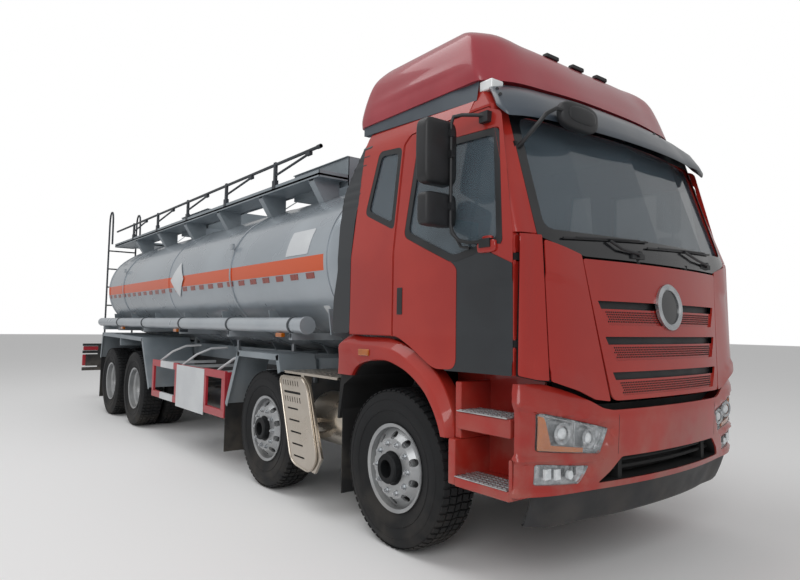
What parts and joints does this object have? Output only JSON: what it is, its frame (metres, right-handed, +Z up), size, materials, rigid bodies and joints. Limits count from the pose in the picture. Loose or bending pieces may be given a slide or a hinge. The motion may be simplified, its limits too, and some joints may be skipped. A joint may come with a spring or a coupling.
{
  "type": "chemical tanker truck",
  "caption": "Cab-over tanker truck with an oval tank for liquid chemicals, steered front axles, tilting cab and twin-tyre rear axles.",
  "frame": {"origin": "ground level under the middle of the overall box", "axes": "+X forward, +Y the truck's left, +Z up"},
  "size_m": [11.2, 3.04, 3.557],
  "materials": {
    "cab_paint": "gloss coat over red",
    "black_plastic": "fine moulded grain",
    "window_glass": "clear, slightly tinted",
    "lamp_glass": "clear moulded lens",
    "dash_plastic": "moulded grain",
    "seat_fabric": "woven",
    "tank_paint": "silver grey gloss",
    "grey_paint": "satin grey",
    "tube_paint": "silver grey satin",
    "flap_rubber": "ribbed black",
    "guard_paint": "red and white bands",
    "stainless": "brushed",
    "tank_aluminium": "brushed",
    "lid_steel": "satin",
    "tyre_rubber": "moulded black",
    "rim_paint": "silver satin",
    "chassis_paint": "satin black",
    "cast_parts": "cast"
  },
  "bodies": {
    "chassis": {"frame": "chassis_paint", "front_axles": "chassis_paint", "rear_axles": "chassis_paint", "engine": "chassis_paint", "bumper": "cab_paint", "bumper_lip": "black_plastic", "lamps": "lamp_glass", "fenders": "cab_paint", "steps": "cab_paint", "battery_box": "black_plastic", "tank": "tank_paint", "tank_cradle": "grey_paint", "hose_tubes": "tube_paint", "walkway": "grey_paint", "guard_rail": "grey_paint", "mudguards": "grey_paint", "mud_flaps": "flap_rubber", "side_guards": "guard_paint", "silencer": "stainless", "fuel_tank": "tank_aluminium", "air_tanks": "chassis_paint", "rear_bumper": "chassis_paint", "discharge_valve": "grey_paint"},
    "cab": {"cab_shell": "cab_paint", "cab_glass": "window_glass", "roof_fairing": "cab_paint", "sun_visor": "black_plastic", "front_mirror": "black_plastic", "dashboard": "dash_plastic", "seats": "seat_fabric", "side_deflectors": "black_plastic"},
    "door_left_group": {"door_left": "cab_paint", "door_glass_left": "window_glass", "mirror_left": "black_plastic"},
    "door_right_group": {"door_right": "cab_paint", "door_glass_right": "window_glass", "mirror_right": "black_plastic"},
    "grille_group": {"grille_panel": "cab_paint"},
    "lid_front_group": {"manhole_lid_front": "lid_steel"},
    "lid_rear_group": {"manhole_lid_rear": "lid_steel"},
    "knuckle_1_right_group": {"knuckle_1_right": "cast_parts"},
    "wheel_1_right": {"tyre_1_right": "tyre_rubber", "rim_1_right": "rim_paint"},
    "knuckle_1_left_group": {"knuckle_1_left": "cast_parts"},
    "wheel_1_left": {"tyre_1_left": "tyre_rubber", "rim_1_left": "rim_paint"},
    "knuckle_2_right_group": {"knuckle_2_right": "cast_parts"},
    "wheel_2_right": {"tyre_2_right": "tyre_rubber", "rim_2_right": "rim_paint"},
    "knuckle_2_left_group": {"knuckle_2_left": "cast_parts"},
    "wheel_2_left": {"tyre_2_left": "tyre_rubber", "rim_2_left": "rim_paint"},
    "wheel_3_right": {"tyre_3_right": "tyre_rubber", "rim_3_right": "rim_paint"},
    "wheel_3_left": {"tyre_3_left": "tyre_rubber", "rim_3_left": "rim_paint"},
    "wheel_4_right": {"tyre_4_right": "tyre_rubber", "rim_4_right": "rim_paint"},
    "wheel_4_left": {"tyre_4_left": "tyre_rubber", "rim_4_left": "rim_paint"}
  },
  "joints": [
    {"name": "cab_tilt", "type": "hinge", "parent": "chassis", "child": "cab", "pos_m": [5.45, 0, 0.98], "axis": [0, 1, 0], "range_deg": [0, 50]},
    {"name": "door_left_swing", "type": "hinge", "parent": "cab", "child": "door_left_group", "pos_m": [5.34, 1.228, 1.66], "axis": [0, 0, -1], "range_deg": [0, 70]},
    {"name": "door_right_swing", "type": "hinge", "parent": "cab", "child": "door_right_group", "pos_m": [5.34, -1.228, 1.66], "axis": [0, 0, 1], "range_deg": [0, 70]},
    {"name": "grille_lift", "type": "hinge", "parent": "cab", "child": "grille_group", "pos_m": [5.512, 0, 1.93], "axis": [0, -1, 0], "range_deg": [0, 60]},
    {"name": "manhole_front_swing", "type": "hinge", "parent": "chassis", "child": "lid_front_group", "pos_m": [2.372, 0, 3.055], "axis": [0, 1, 0], "range_deg": [0, 100]},
    {"name": "manhole_rear_swing", "type": "hinge", "parent": "chassis", "child": "lid_rear_group", "pos_m": [-1.528, 0, 3.055], "axis": [0, 1, 0], "range_deg": [0, 100]},
    {"name": "steer_1_right", "type": "hinge", "parent": "chassis", "child": "knuckle_1_right_group", "pos_m": [4.2, -0.9, 0.538], "axis": [0, 0, 1], "range_deg": [-36, 36]},
    {"name": "spin_1_right", "type": "hinge", "parent": "knuckle_1_right_group", "child": "wheel_1_right", "pos_m": [4.2, -1.04, 0.538], "axis": [0, 1, 0], "continuous": true},
    {"name": "steer_1_left", "type": "hinge", "parent": "chassis", "child": "knuckle_1_left_group", "pos_m": [4.2, 0.9, 0.538], "axis": [0, 0, 1], "range_deg": [-36, 36]},
    {"name": "spin_1_left", "type": "hinge", "parent": "knuckle_1_left_group", "child": "wheel_1_left", "pos_m": [4.2, 1.04, 0.538], "axis": [0, 1, 0], "continuous": true},
    {"name": "steer_2_right", "type": "hinge", "parent": "chassis", "child": "knuckle_2_right_group", "pos_m": [2.25, -0.9, 0.538], "axis": [0, 0, 1], "range_deg": [-26, 26]},
    {"name": "spin_2_right", "type": "hinge", "parent": "knuckle_2_right_group", "child": "wheel_2_right", "pos_m": [2.25, -1.04, 0.538], "axis": [0, 1, 0], "continuous": true},
    {"name": "steer_2_left", "type": "hinge", "parent": "chassis", "child": "knuckle_2_left_group", "pos_m": [2.25, 0.9, 0.538], "axis": [0, 0, 1], "range_deg": [-26, 26]},
    {"name": "spin_2_left", "type": "hinge", "parent": "knuckle_2_left_group", "child": "wheel_2_left", "pos_m": [2.25, 1.04, 0.538], "axis": [0, 1, 0], "continuous": true},
    {"name": "spin_3_right", "type": "hinge", "parent": "chassis", "child": "wheel_3_right", "pos_m": [-2, -0.9, 0.538], "axis": [0, 1, 0], "continuous": true},
    {"name": "spin_3_left", "type": "hinge", "parent": "chassis", "child": "wheel_3_left", "pos_m": [-2, 0.9, 0.538], "axis": [0, 1, 0], "continuous": true},
    {"name": "spin_4_right", "type": "hinge", "parent": "chassis", "child": "wheel_4_right", "pos_m": [-3.35, -0.9, 0.538], "axis": [0, 1, 0], "continuous": true},
    {"name": "spin_4_left", "type": "hinge", "parent": "chassis", "child": "wheel_4_left", "pos_m": [-3.35, 0.9, 0.538], "axis": [0, 1, 0], "continuous": true}
  ],
  "couplings": [
    {"joint": "steer_1_left", "follows": "steer_1_right", "ratio": 1},
    {"joint": "steer_2_right", "follows": "steer_1_right", "ratio": 0.72},
    {"joint": "steer_2_left", "follows": "steer_1_right", "ratio": 0.72}
  ]
}
